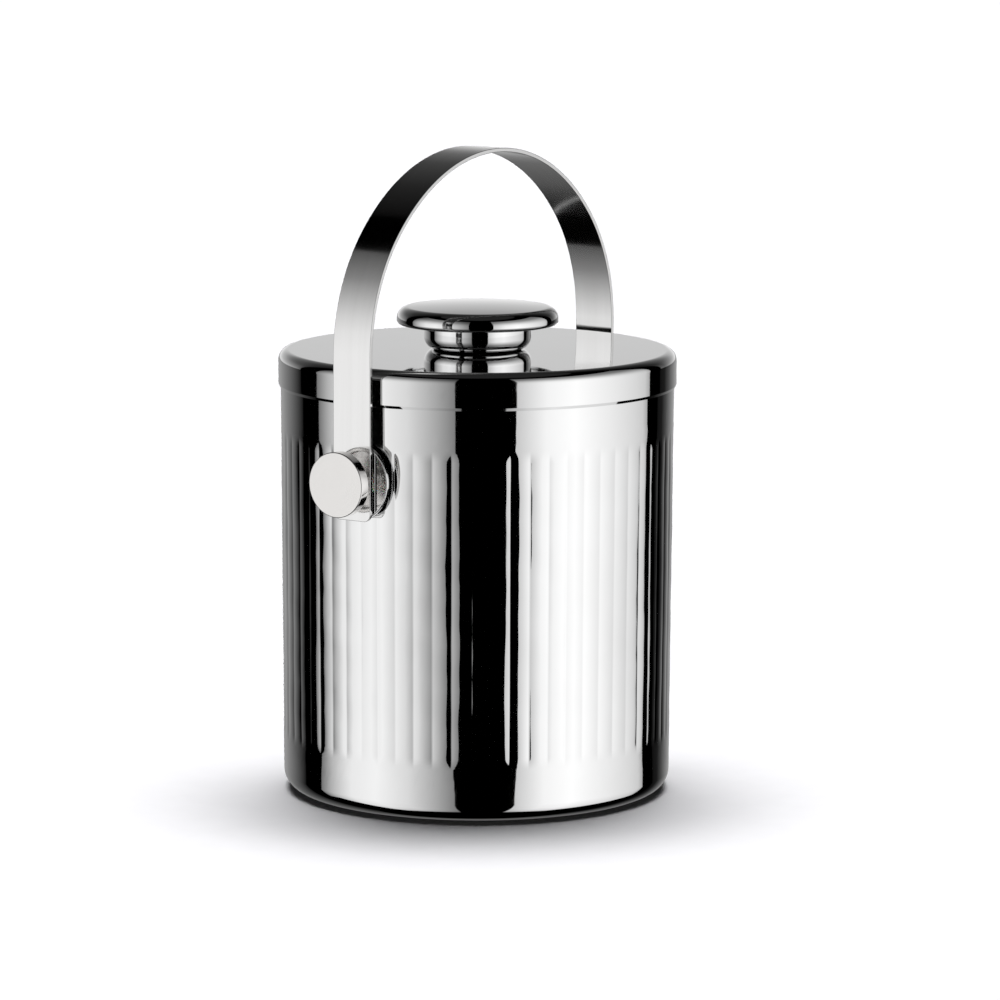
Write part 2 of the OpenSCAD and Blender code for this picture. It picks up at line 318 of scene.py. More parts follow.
class Look:
    """Adds nodes to one material, or to the world, and links them."""

    def __init__(self, owner):
        self.owner = owner
        owner.use_nodes = True
        self.tree = owner.node_tree
        self.tree.nodes.clear()

    def node(self, kind, inputs, **settings):
        made = self.tree.nodes.new(kind)
        for key, value in settings.items():
            setattr(made, key, value)
        for key, value in inputs.items():
            if isinstance(value, bpy.types.NodeSocket):
                self.tree.links.new(value, made.inputs[key])
            else:
                made.inputs[key].default_value = value
        return made

    def place(self, kind="Object"):
        return self.node("ShaderNodeTexCoord", {}).outputs[kind]

    def sum(self, operation, a, b):
        return self.node("ShaderNodeMath", {0: a, 1: b}, operation=operation).outputs[0]

    def scaled(self, vector, scale):
        return self.node("ShaderNodeMapping", {"Vector": vector, "Scale": scale}).outputs[0]

    def noise(self, vector, scale, detail=3.0, roughness=0.5):
        made = self.node("ShaderNodeTexNoise", {"Vector": vector, "Scale": scale, "Detail": detail,
                                                "Roughness": roughness})
        return made.outputs["Fac"]

    def between(self, value, low_out, high_out, low_in=0.3, high_in=0.7):
        made = self.node("ShaderNodeMapRange", {"Value": value, "From Min": low_in, "From Max": high_in,
                                                "To Min": low_out, "To Max": high_out})
        return made.outputs["Result"]

    def mixed(self, share, a, b):
        return self.node("ShaderNodeMix", {0: share, 6: a, 7: b}, data_type="RGBA").outputs[2]

    def bump(self, height, depth, normal=None):
        inputs = {"Height": height, "Distance": depth, "Strength": 1.0}
        if normal:
            inputs["Normal"] = normal
        return self.node("ShaderNodeBump", inputs).outputs[0]

    def finished(self, **inputs):
        """Ends in a Principled shader. Input names have _ for a space."""
        named = {key.replace("_", " "): value for key, value in inputs.items()}
        shader = self.node("ShaderNodeBsdfPrincipled", named)
        self.node("ShaderNodeOutputMaterial", {"Surface": shader.outputs[0]})
        return self.owner


def new_look(name):
    return Look(bpy.data.materials.new(name))


def grey(level, warmth=0.0):
    return (level * (1 + warmth), level, level * (1 - warmth), 1)


def mirror_steel():
    """Polished steel: a clear mirror with faint ripples, and a slight haze where hands have been."""
    look = new_look("mirror_steel")
    place = look.place()
    smudges = look.noise(place, 34, 5, 0.6)
    wipes = look.noise(look.scaled(place, (1, 1, 0.25)), 260, 2)
    haze = look.sum("MULTIPLY", smudges, wipes)
    ripple = look.noise(place, 150, 1)
    hairlines = look.noise(look.scaled(place, (900, 900, 30)), 6, 2)
    normal = look.bump(hairlines, 2.5e-7, look.bump(ripple, 2e-6))
    colour = look.mixed(look.between(smudges, 0, 1), grey(0.90), grey(0.925, -0.002))
    rough = look.between(haze, 0.02, 0.055, 0.15, 0.4)
    return look.finished(Metallic=1.0, Base_Color=colour, Roughness=rough, Normal=normal)


def strap_steel():
    """Polished strip with fine lengthwise lines. Its marks run along the strip (u) and across it (v)."""
    look = new_look("strap_steel")
    place = look.place("UV")
    lines = look.noise(look.scaled(place, (14, 2600, 1)), 1, 3)
    bands = look.noise(look.scaled(place, (9, 260, 1)), 1, 4)
    smudges = look.noise(place, 45, 5, 0.6)
    normal = look.bump(bands, 1.5e-6, look.bump(lines, 5e-7))
    colour = look.mixed(look.between(bands, 0, 1), grey(0.86, 0.006), grey(0.90, 0.004))
    rough = look.sum("ADD", look.between(smudges, 0.07, 0.12), look.between(lines, -0.015, 0.015))
    return look.finished(Metallic=1.0, Base_Color=colour, Roughness=rough, Normal=normal)


EDGE_ROUGHNESS = 0.06


def turned_steel(name, level, warmth, rough, ring_scale, edge=None):
    """Satin steel with the fine rings that a lathe leaves, round the piece's own Z axis. It is polished
    outside the radius edge."""
    look = new_look(name)
    place = look.place()
    split = look.node("ShaderNodeSeparateXYZ", {0: place})
    flat = look.node("ShaderNodeCombineXYZ", {0: split.outputs[0], 1: split.outputs[1]})
    spread = look.node("ShaderNodeVectorMath", {0: flat.outputs[0]}, operation="LENGTH").outputs["Value"]
    angle = look.sum("ARCTAN2", split.outputs[1], split.outputs[0])
    rings = look.node("ShaderNodeCombineXYZ", {0: look.sum("MULTIPLY", spread, ring_scale),
                                               1: look.sum("MULTIPLY", split.outputs[2], ring_scale),
                                               2: look.sum("MULTIPLY", angle, 0.7)})
    lines = look.noise(rings.outputs[0], 1, 3)
    broad = look.noise(rings.outputs[0], 0.13, 2)
    patches = look.noise(place, 60, 3)
    normal = look.bump(lines, 1.2e-6, look.bump(broad, 3e-6))
    colour = look.mixed(look.between(patches, 0, 1), grey(level, warmth), grey(level * 1.05, warmth))
    vary = 0.03
    uneven = look.between(patches, rough - vary, rough + vary)
    varied = look.sum("ADD", uneven, look.between(lines, -vary, vary))
    if edge:
        varied = look.between(spread, varied, EDGE_ROUGHNESS, edge - 0.3 * MM, edge)
    return look.finished(Metallic=1.0, Base_Color=colour, Roughness=varied, Normal=normal)


def zinc_steel():
    """Zinc-plated hardware: dull, with a mottled blue to straw tint."""
    look = new_look("zinc_steel")
    place = look.place()
    mottle = look.noise(place, 420, 4, 0.65)
    tint = look.noise(place, 110, 2)
    colour = look.mixed(look.between(tint, 0, 1), (0.56, 0.59, 0.63, 1), (0.68, 0.65, 0.56, 1))
    return look.finished(Metallic=1.0, Base_Color=colour, Roughness=look.between(mottle, 0.28, 0.48),
                         Normal=look.bump(mottle, 4e-6))


def silicone():
    """Moulded silicone: matt, nearly black, with a fine grain and a little lint."""
    look = new_look("silicone")
    place = look.place()
    grain = look.noise(place, 2600, 2)
    dust = look.noise(place, 900, 6, 0.75)
    colour = look.mixed(look.between(dust, 0, 1, 0.62, 0.8), (0.03, 0.03, 0.033, 1), (0.11, 0.11, 0.11, 1))
    rough = look.between(grain, 0.5, 0.62)
    return look.finished(Base_Color=colour, Roughness=rough, Normal=look.bump(grain, 1e-5))


def nylon():
    """Natural moulded nylon: waxy off-white with faint flow marks."""
    look = new_look("nylon")
    place = look.place()
    flow = look.noise(place, 300, 3)
    grain = look.noise(place, 3000, 2)
    colour = look.mixed(look.between(flow, 0, 1), (0.78, 0.77, 0.70, 1), (0.85, 0.84, 0.79, 1))
    return look.finished(Base_Color=colour, Roughness=look.between(grain, 0.32, 0.44),
                         Subsurface_Weight=0.2, Subsurface_Scale=0.001, Normal=look.bump(grain, 4e-6))


def foam():
    """Rigid polyurethane foam: small closed cells, straw coloured, darker where it is denser."""
    look = new_look("foam")
    place = look.place()
    cells = look.node("ShaderNodeTexVoronoi", {"Vector": place, "Scale": 900.0}).outputs["Distance"]
    dense = look.noise(place, 40, 4)
    colour = look.mixed(look.between(dense, 0, 1), (0.80, 0.68, 0.36, 1), (0.90, 0.80, 0.52, 1))
    return look.finished(Base_Color=colour, Roughness=0.9, Normal=look.bump(cells, 2e-4))


FINISH = {
    "polished_steel": mirror_steel(),
    "strap_steel": strap_steel(),
    "button_steel": turned_steel("button_steel", 0.83, 0.02, 0.24, 3500, BUTTON_R - 0.15 * MM),
    "satin_steel": turned_steel("satin_steel", 0.74, 0.004, 0.3, 1400),
    "zinc_steel": zinc_steel(),
    "silicone": silicone(),
    "nylon": nylon(),
    "foam": foam(),
}


# ---------------------------------------------------------------- body

def valley_distance(angle):
    """Distance round the wall from the nearest valley, for one flute's lobe."""
    pitch = math.tau / FLUTES
    return abs((angle + pitch / 2) % pitch - pitch / 2) * RIM_R


def flute_dent(angle):
    """How far a fluted wall lies inside its crests: round lobes that meet in narrow valleys."""
    half = math.pi * RIM_R / FLUTES
    curve = 1 / LOBE_R - 1 / RIM_R
    off = half - valley_distance(angle)
    near = half - VALLEY_HALF
    if off < near:
        return curve * off * off / 2
    into = half - off
    slope = curve * near
    return curve * near * near / 2 + slope * (VALLEY_HALF ** 2 - into ** 2) / (2 * VALLEY_HALF)


def smooth(share):
    share = min(1.0, max(0.0, share))
    return share * share * (3 - 2 * share)


def flute_share(z):
    """1 where the flutes have their full depth, 0 above and below them."""
    return smooth((z - FLUTE_LOW) / FLUTE_FADE) * smooth((FLUTE_HIGH - z) / FLUTE_FADE)


def flute_strength(angle, z):
    """Pressed flutes aren't all equally deep, and each varies a little along its length."""
    index = round(angle / math.tau * FLUTES)
    return 0.87 + 0.09 * math.sin(2.4 * index + 40 * z) + 0.06 * math.sin(5.1 * index - 75 * z + 1.3)


def sheet_wave(angle, z, size):
    """The slight unevenness of a drawn and polished sheet."""
    wave = math.sin(6 * angle + 128 * z + 0.6) * math.sin(190 * z + 1.1)
    wave += 0.5 * math.sin(11 * angle - 71 * z + 2.0)
    wave += 0.5 * math.sin(17 * angle + 235 * z + 4.2) * math.sin(110 * z)
    return wave * size


def drawn_in(point, shift):
    """A point moved towards the Z axis."""
    scale = 1 - shift / math.hypot(point.x, point.y)
    return Vector((point.x * scale, point.y * scale, point.z))


def press_flutes(point):
    """Moves the outer wall's points in by the flutes and the sheet's slight waves."""
    spread = math.hypot(point.x, point.y)
    if spread < wall_r(point.z) - 0.4 * WALL_T or point.z > LID_LOW:
        return point
    angle = math.atan2(point.y, point.x)
    share = flute_share(point.z) * flute_strength(angle, point.z)
    calm = smooth((point.z - 8 * MM) / (14 * MM)) * smooth((154 * MM - point.z) / (30 * MM))
    shift = flute_dent(angle) * share - sheet_wave(angle, point.z, SHELL_WAVE) * calm
    return drawn_in(point, shift)


def flute_angles():
    """Columns that follow the flutes: close in the valleys, wider on the lobes."""
    half = math.pi * RIM_R / FLUTES
    steps = [0, VALLEY_HALF, 0.4 * half, 0.7 * half, half]
    offsets = [s / RIM_R for s in steps] + [(2 * half - s) / RIM_R for s in reversed(steps[1:-1])]
    return [math.tau * i / FLUTES + o for i in range(FLUTES) for o in offsets]


def stretch(start, end, count):
    return [start + (end - start) * i / count for i in range(count)]


def body_shell():
    lows = stretch(12 * MM, FLUTE_LOW, 3)
    starts = stretch(FLUTE_LOW, FLUTE_LOW + FLUTE_FADE, 12)
    mids = stretch(FLUTE_LOW + FLUTE_FADE, FLUTE_HIGH - FLUTE_FADE, 26)
    ends = stretch(FLUTE_HIGH - FLUTE_FADE, FLUTE_HIGH, 12)
    tops = stretch(FLUTE_HIGH, 162 * MM, 7)
    wall = [(wall_r(z), z) for z in lows + starts + mids + ends + tops]
    foot_r = wall_r(SHELL_LOW)
    rows = outline((BASE_OPEN_R, SHELL_LOW, 0.3 * MM), (foot_r, SHELL_LOW, BASE_ROUND), *wall,
                   (RIM_R, WALL_TOP, 0.2 * MM), (RIM_R - WALL_T, WALL_TOP, 0.2 * MM),
                   (foot_r - WALL_T, SHELL_LOW + WALL_T, BASE_ROUND - WALL_T),
                   (BASE_OPEN_R, SHELL_LOW + WALL_T, 0.3 * MM))
    Skin().lathe(rows, flute_angles(), press_flutes).piece(
        "fluted_shell", "bucket", "polished_steel", "outer_shell")


def ice_liner():
    floor = low("inner_liner", 2) + LINER_T
    rim_low = RIM_TOP - LINER_T
    rows = outline((0, floor), (LINER_R, floor, LINER_ROUND), (LINER_R, RIM_TOP, 1.4 * MM),
                   (RIM_R, RIM_TOP, 0.35 * MM), (RIM_R, rim_low, 0.2 * MM),
                   (LINER_R + LINER_T, rim_low, 0.8 * MM),
                   (LINER_R + LINER_T, floor - LINER_T, LINER_ROUND + LINER_T), (0, floor - LINER_T))
    Skin().lathe(rows).piece("ice_vessel", "bucket", "satin_steel", "inner_liner")


def base_cover():
    bottom, top = low("base_plate", 2), high("base_plate", 2)
    thick = BASE_PLATE_T
    edge = high("base_plate", 0)
    rows = outline((0, top - thick), (18 * MM, top - thick, 2 * MM), (19 * MM, top - 1.6 * thick, 2 * MM),
                   (22 * MM, top - 1.6 * thick, 2 * MM), (23 * MM, top - thick, 2 * MM),
                   (42 * MM, top - thick, 2 * MM), (46 * MM, bottom, 2 * MM), (edge, bottom, 0.2 * MM),
                   (edge, bottom + thick, 0.2 * MM), (46.4 * MM, bottom + thick, 1.5 * MM),
                   (42.4 * MM, top, 1.5 * MM), (0, top))
    Skin().lathe(rows).piece("bottom_cover", "bucket", "satin_steel", "base_plate")


def foot():
    """The ring that the bucket stands on, with two grooves round its lower face."""
    top = high("foot_ring", 2)
    grooves = []
    for start in (48.2 * MM, 50.4 * MM):
        for across, up in ((0, 0), (0.4 * MM, FOOT_GROOVE), (1.2 * MM, FOOT_GROOVE), (1.6 * MM, 0)):
            grooves.append((start + across, up, 0.15 * MM))
    rows = outline((FOOT_IN_R, 0, 0.5 * MM), *grooves, (FOOT_OUT_R, 0, 0.5 * MM), (FOOT_OUT_R, top, 0.1 * MM),
                   (FOOT_IN_R, top, 0.1 * MM))
    Skin().lathe(rows).piece("grip_foot", "bucket", "silicone", "foot_ring")


# ---------------------------------------------------------------- lid and knob

def lid_skin():
    skirt_in = LID_R - LID_T
    under = LID_TOP - LID_T

    def settle(point):
        """Gives the skirt the sheet's slight waves, drawn in so that they stay inside its outer radius."""
        if math.hypot(point.x, point.y) < LID_R - 0.4 * LID_T or point.z > LID_TOP - LID_ROUND:
            return point
        share = smooth((LID_TOP - LID_ROUND - point.z) / (2 * MM))
        wave = sheet_wave(math.atan2(point.y, point.x), point.z, LID_WAVE)
        return drawn_in(point, (wave + 1.5 * LID_WAVE) * share)

    rows = outline((skirt_in, LID_LOW), (LID_R - HEM_DEPTH, LID_LOW), (LID_R, LID_LOW + HEM_HEIGHT, 0.3 * MM),
                   (LID_R, LID_LOW + 3 * MM), (LID_R, LID_LOW + 6 * MM), (LID_R, LID_LOW + 8 * MM),
                   (LID_R, LID_TOP, LID_ROUND), (SCREW_HOLE_R, LID_TOP), (SCREW_HOLE_R, under),
                   (skirt_in, under, LID_ROUND - LID_T))
    Skin().lathe(rows, even_angles(LID_COLUMNS), settle).piece(
        "lid_shell", "lid", "polished_steel", "lid_cover")


def lid_pan():
    top = high("lid_liner", 2)
    edge = high("lid_liner", 0)
    inner = PLUG_R - LINER_T
    rows = outline((0, PLUG_LOW), (52 * MM, PLUG_LOW, 4 * MM), (53.5 * MM, PLUG_LOW + 0.5 * MM, 4 * MM),
                   (56 * MM, PLUG_LOW + 0.5 * MM, 3 * MM), (57.5 * MM, PLUG_LOW, 2 * MM),
                   (PLUG_R, PLUG_LOW, PLUG_ROUND), (PLUG_R, top - LINER_T, 0.8 * MM),
                   (edge, top - LINER_T, 0.2 * MM), (edge, top, 0.2 * MM), (inner, top, 1.4 * MM),
                   (inner, PLUG_LOW + 1.1 * MM, PLUG_ROUND - LINER_T), (0, PLUG_LOW + 1.1 * MM))
    Skin().lathe(rows).piece("plug_pan", "lid", "satin_steel", "lid_liner")


def rim_seal():
    """The seal round the plug, with two soft ribs that press on the liner and a flange on the rim."""
    bottom, top = low("lid_seal", 2), high("lid_seal", 2)
    edge = high("lid_seal", 0)
    between_ribs = SEAL_LIP_R - 0.3 * MM
    rib_tip = SEAL_LIP_R + 0.3 * MM
    ribs = []
    for start in (bottom + 1 * MM, bottom + 2.6 * MM):
        ribs += [(between_ribs, start), (rib_tip, start + 0.6 * MM, 0.2 * MM),
                 (between_ribs, start + 1 * MM, 0.1 * MM)]
    rows = outline((PLUG_R, bottom, 0.3 * MM), (SEAL_LIP_R - 0.5 * MM, bottom, 0.4 * MM), *ribs,
                   (between_ribs, RIM_TOP, 0.1 * MM), (edge, RIM_TOP, 0.3 * MM), (edge, top, 0.3 * MM),
                   (PLUG_R, top, 0.2 * MM))
    Skin().lathe(rows).piece("lid_gasket", "lid", "silicone", "lid_seal")


def ball_radius(radius, rise):
    """The radius of a ball that rises by rise over a circle of that radius."""
    return (radius * radius + rise * rise) / (2 * rise)


def dome(radius, rise, off):
    """Rows of the cap's low crown from its edge in to the axis, moved inwards by off, with exact normals."""
    ball = ball_radius(radius, rise)
    centre = Vector((0, CAP_TOP - ball))
    half = math.asin(radius / ball)
    steps = 14
    rows = []
    for i in range(steps + 1):
        angle = half * (1 - i / steps)
        spoke = Vector((math.sin(angle), math.cos(angle)))
        normal = -spoke if off else spoke
        rows.append((centre + spoke * (ball - off), normal, normal))
    return rows


def cap_bend(centre, radius, start, end, inward):
    """Rows round one bend of the cap's section, between two angles from the horizontal, in degrees."""
    rows = []
    for i in range(ARC_STEPS + 1):
        angle = math.radians(start + (end - start) * i / ARC_STEPS)
        spoke = Vector((math.cos(angle), math.sin(angle)))
        normal = -spoke if inward else spoke
        rows.append((centre + spoke * radius, normal, normal))
    return rows


def cap_side(off):
    """Rows from the curled lower edge up to the crown's edge, moved inwards by off."""
    inward = off > 0
    curl = Vector((CAP_R - CAP_CURL, CAP_LOW + CAP_CURL))
    shoulder_x = CAP_R - CAP_SHOULDER
    shoulder = Vector((shoulder_x, CAP_TOP - CAP_CROWN - CAP_SHOULDER))
    lean = 90 - math.degrees(math.asin(shoulder_x / ball_radius(shoulder_x, CAP_CROWN)))
    rows = cap_bend(curl, CAP_CURL - off, -90, 0, inward)
    rows += cap_bend(shoulder, CAP_SHOULDER - off, 0, lean, inward)
    return rows + dome(shoulder_x, CAP_CROWN, off)[1:]


def knob_top():
    inside = cap_side(KNOB_T)
    start = inside[0][0]
    lip_in = Vector((-1, 0))
    outside = cap_side(0)
    rows = [(outside[0][0], lip_in, outside[0][2])] + outside[1:]
    rows += [*reversed(inside[1:]), (start, inside[0][1], lip_in)]
    Skin().lathe(rows, even_angles(KNOB_COLUMNS)).piece(
        "knob_dome", "lid", "polished_steel", "knob_cap")


def knob_disc():
    bottom, top = low("knob_underplate", 2), high("knob_underplate", 2)
    edge = high("knob_underplate", 0)
    rows = outline((SCREW_HOLE_R, bottom), (NECK_R + 1.2 * MM, bottom), (edge, bottom, 0.2 * MM),
                   (edge, top, 0.2 * MM), (SCREW_HOLE_R, top))
    Skin().lathe(rows, even_angles(KNOB_COLUMNS)).piece(
        "knob_base", "lid", "polished_steel", "knob_underplate")


def knob_stem():
    inner = NECK_R - KNOB_T
    floor = LID_TOP + KNOB_T
    rows = outline((SCREW_HOLE_R, LID_TOP), (NECK_R, LID_TOP, NECK_ROUND), (NECK_R, NECK_TOP),
                   (inner, NECK_TOP), (inner, floor, NECK_ROUND - KNOB_T), (SCREW_HOLE_R, floor))
    Skin().lathe(rows, even_angles(KNOB_COLUMNS)).piece(
        "knob_cup", "lid", "polished_steel", "knob_neck")


def threaded(low_z, high_z):
    """A bend that cuts a helical thread into a plain shank between two heights."""
    depth = 0.54 * THREAD_PITCH

    def cut(point):
        if math.hypot(point.x, point.y) < 0.9 * THREAD_R or not low_z < point.z < high_z:
            return point
        turn = (point.z / THREAD_PITCH - math.atan2(point.y, point.x) / math.tau) % 1.0
        fade = min(1.0, (point.z - low_z) / THREAD_PITCH, (high_z - point.z) / THREAD_PITCH)
        return drawn_in(point, depth * fade * (1 - abs(2 * turn - 1)))

    return cut


def shank_rows(low_z, high_z):
    """Extra corners along a shank, close enough to carry its thread."""
    count = math.ceil((high_z - low_z) / THREAD_PITCH * 6)
    return [(THREAD_R, z) for z in stretch(low_z, high_z, count)[1:]]


def stud():
    bottom, top = low("knob_stud", 2), high("knob_stud", 2)
    head_r, head_low = high("knob_stud", 0), top - STUD_HEAD_H
    rows = outline((0, bottom), (THREAD_R, bottom, 0.4 * MM), *shank_rows(bottom + 0.5 * MM, head_low),
                   (THREAD_R, head_low), (head_r, head_low, 0.2 * MM), (head_r, top, 0.5 * MM), (0, top))
    Skin().lathe(rows, even_angles(STUD_COLUMNS), threaded(bottom, head_low - 1 * MM)).piece(
        "knob_bolt", "lid", "zinc_steel", "knob_stud")


def stud_washer():
    node = "knob_washer"
    rows = ring_outline(SCREW_HOLE_R, high(node, 0), low(node, 2), high(node, 2), 0.15 * MM)
    Skin().lathe(rows).piece("knob_bolt_washer", "lid", "zinc_steel", node)


# ---------------------------------------------------------------- pivots

def pivot_place(side):
    """Local +Z runs out along the pivot axis on that side, from the body's axis."""
    return Matrix.Translation((0, 0, PIVOT_Z)) @ Matrix.Rotation(side * math.pi / 2, 4, "Y")


def button(side, word):
    """The shoulder screw, with a round head that is hollow behind."""
    back = BUTTON_FACE - BUTTON_H
    end = abs(high("left_pivot_screw", 0))
    hollow_r = BUTTON_R - BUTTON_LIP
    rows = outline((0, end), (THREAD_R, end, 0.4 * MM), *shank_rows(end + 0.5 * MM, SHOULDER_START),
                   (THREAD_R, SHOULDER_START), (SHOULDER_R, SHOULDER_START, 0.2 * MM),
                   (SHOULDER_R, back + BUTTON_HOLLOW, 0.2 * MM), (hollow_r, back + BUTTON_HOLLOW, 0.5 * MM),
                   (hollow_r, back, 0.2 * MM), (BUTTON_R, back, 0.4 * MM), (BUTTON_R, BUTTON_FACE, 0.45 * MM),
                   (0, BUTTON_FACE))
    Skin().lathe(rows, even_angles(BUTTON_COLUMNS), threaded(end, SHOULDER_START)).piece(
        f"{word}_button", "bucket", "button_steel", f"{word}_pivot_screw",
        place=pivot_place(side))


def spacer(side, word):
    """The boss between bail and wall: a hub with a flange, and a seat that follows the wall."""
    flange_back = SPACER_FACE - SPACER_FLANGE_T
    seat_wall = wall_r(PIVOT_Z + 10 * MM)
    rows = outline((BORE_R, SPACER_SEAT), (SPACER_HUB_R, SPACER_SEAT), (SPACER_HUB_R, flange_back, 0.3 * MM),
                   (SPACER_R, flange_back, 0.3 * MM), (SPACER_R, SPACER_FACE, 0.4 * MM),
                   (BORE_R, SPACER_FACE, 0.2 * MM))

    def onto_wall(point):
        if point.z > SPACER_SEAT + 0.5 * MM:
            return point
        return Vector((point.x, point.y, math.sqrt(seat_wall ** 2 - point.y ** 2) - 0.05 * MM))

    Skin().lathe(rows, None, onto_wall).piece(
        f"{word}_boss", "bucket", "polished_steel", f"{word}_pivot_spacer",
        place=pivot_place(side))


def slip_washer(side, word):
    node = "right_inner_washer"
    rows = ring_outline(BORE_R, high(node, 1), low(node, 0), high(node, 0), 0.12 * MM)
    Skin().lathe(rows).piece(
        f"{word}_slip_washer", "bucket", "nylon", f"{word}_inner_washer",
        place=pivot_place(side))


def bush(side, word):
    inner, outer = low("right_handle_bush", 0), high("right_handle_bush", 0)
    rows = outline((BORE_R, inner, 0.1 * MM), (BUSH_R, inner), (BUSH_R, STRAP_R),
                   (BUSH_FLANGE_R, STRAP_R, 0.1 * MM), (BUSH_FLANGE_R, outer, 0.25 * MM),
                   (BORE_R, outer, 0.2 * MM))
    Skin().lathe(rows).piece(
        f"{word}_bush", "handle", "nylon", f"{word}_handle_bush", place=pivot_place(side))


def hexagon(across_flats, angle):
    sixth = math.tau / 6
    return across_flats / 2 / math.cos((angle + sixth / 2) % sixth - sixth / 2)


def nut_skin(across_flats, bore, height):
    """A hexagon nut with turned corners and a collar that holds its locking insert."""
    hexes = 0.72 * height
    chamfer = math.tan(math.radians(30))
    flat_r = 0.475 * across_flats
    rows = [(bore, 0), (flat_r, 0), ("hex", "low"), ("hex", "high"), (flat_r, hexes),
            (0.40 * across_flats, hexes), (0.40 * across_flats, 0.9 * height), (0.36 * across_flats, height),
            (bore + 0.1 * height, height), (bore, 0.95 * height)]
    skin = Skin()

    def at(row, angle):
        across, up = row
        if across == "hex":
            across = hexagon(across_flats, angle)
            drop = (across - flat_r) * chamfer
            up = drop if up == "low" else hexes - drop
        return Vector((across * math.cos(angle), across * math.sin(angle), up))

    for i, row in enumerate(rows):
        above = rows[(i + 1) % len(rows)]
        for j in range(NUT_COLUMNS):
            a, b = math.tau * j / NUT_COLUMNS, math.tau * (j + 1) / NUT_COLUMNS
            corners = [at(row, a), at(row, b), at(above, b), at(above, a)]
            normal = (corners[1] - corners[3]).cross(corners[2] - corners[0]).normalized()
            skin.face(*[(corner, normal) for corner in corners])
    return skin


def lock_nut(side, word):
    node = "right_lock_nut"
    flipped = Matrix.Translation((0, 0, high(node, 0))) @ Matrix.Rotation(math.pi, 4, "X")
    nut_skin(span(node, 1), THREAD_R + 0.02 * MM, span(node, 0)).piece(
        f"{word}_nut", "bucket", "zinc_steel", f"{word}_lock_nut",
        place=pivot_place(side) @ flipped)


def stud_nut():
    node = "knob_nut"
    flipped = Matrix.Translation((0, 0, high(node, 2))) @ Matrix.Rotation(math.pi, 4, "X")
    nut_skin(span(node, 1), THREAD_R + 0.02 * MM, span(node, 2)).piece(
        "knob_bolt_nut", "lid", "zinc_steel", node, place=flipped)


# ---------------------------------------------------------------- bail strap

def arch_stations():
    """The strap's outer face from one leg over to the other, as (point, outward normal)."""
    side_x = STRAP_R - ARCH_SIDE_R
    rise = STRAP_TOP - ARCH_START
    side_rise = rise - ARCH_SIDE_R
    drop = (side_x ** 2 - side_rise ** 2) / (2 * side_rise)
    crown_r = rise + drop
    crown_half = math.atan2(side_x, drop)
    left = Vector((-side_x, 0, ARCH_START))
    right = Vector((side_x, 0, ARCH_START))
    middle = Vector((0, 0, ARCH_START - drop))
    bends = [(left, ARCH_SIDE_R, math.pi, math.pi / 2 + crown_half, 24),
             (middle, crown_r, math.pi / 2 + crown_half, math.pi / 2 - crown_half, 44),
             (right, ARCH_SIDE_R, math.pi / 2 - crown_half, 0, 24)]
    found = []
    for centre, radius, start, end, steps in bends:
        for i in range(steps + 1):
            angle = start + (end - start) * i / steps
            spoke = Vector((math.cos(angle), 0, math.sin(angle)))
            if i or not found:
                found.append((centre + spoke * radius, spoke))
    return found


def strap_stations(join_z):
    """The arch with its two legs, down to the height where the flat ends begin."""
    legs = 6
    heights = [join_z + (ARCH_START - join_z) * i / legs for i in range(legs)]
    left = [(Vector((-STRAP_R, 0, z)), Vector((-1, 0, 0))) for z in heights]
    right = [(Vector((STRAP_R, 0, z)), Vector((1, 0, 0))) for z in reversed(heights)]
    return left + arch_stations() + right


def strap_section():
    """The strip's cross-section: across it, and in from its outer face."""
    half = STRAP_HALF
    inside = [half * (i / 3 - 1) for i in range(1, 6)]
    return outline((-half, 0, STRAP_EDGE), *[(x, 0) for x in inside], (half, 0, STRAP_EDGE),
                   (half, STRAP_T, STRAP_EDGE), *[(x, STRAP_T) for x in reversed(inside)],
                   (-half, STRAP_T, STRAP_EDGE))


def sweep_strap(skin, stations):
    """Carries the strip's section along the stations, and gives the length it travelled."""
    section = strap_section()
    across = Vector((0, 1, 0))
    travelled = 0.0
    for k in range(len(stations) - 1):
        (here, spoke), (there, next_spoke) = stations[k], stations[k + 1]
        length = (there - here).length
        for i, (point, _, normal_out) in enumerate(section):
            after, after_in, _ = section[(i + 1) % len(section)]
            corners = []
            marks = []
            ends = ((point, normal_out, here, spoke, 0.0), (after, after_in, here, spoke, 0.0),
                    (after, after_in, there, next_spoke, length),
                    (point, normal_out, there, next_spoke, length))
            for spot, normal, at, out, run in ends:
                corners.append((at + across * spot.x - out * spot.y, across * normal.x - out * normal.y))
                marks.append((travelled + run, spot.x))
            skin.face(*corners, marks=marks)
        travelled += length
    return travelled


def end_border(join_z):
    """The free border of a flat strap end, from one side down round the bottom to the other, as (point,
    normal)."""
    half, corner = STRAP_HALF, STRAP_CORNER
    border = []
    for z in stretch(join_z, STRAP_LOW + corner, 8):
        border.append((Vector((half, z)), Vector((1, 0))))
    for centre, start in ((half - corner, 0.0), (corner - half, -math.pi / 2)):
        for i in range(ARC_STEPS + 1):
            angle = start - math.pi / 2 * i / ARC_STEPS
            spoke = Vector((math.cos(angle), math.sin(angle)))
            border.append((Vector((centre, STRAP_LOW + corner)) + spoke * corner, spoke))
        if centre > 0:
            for x in stretch(half - corner, corner - half, 6)[1:]:
                border.append((Vector((x, STRAP_LOW)), Vector((0, -1))))
    for z in reversed(stretch(join_z, STRAP_LOW + corner, 8)):
        border.append((Vector((-half, z)), Vector((-1, 0))))
    return border


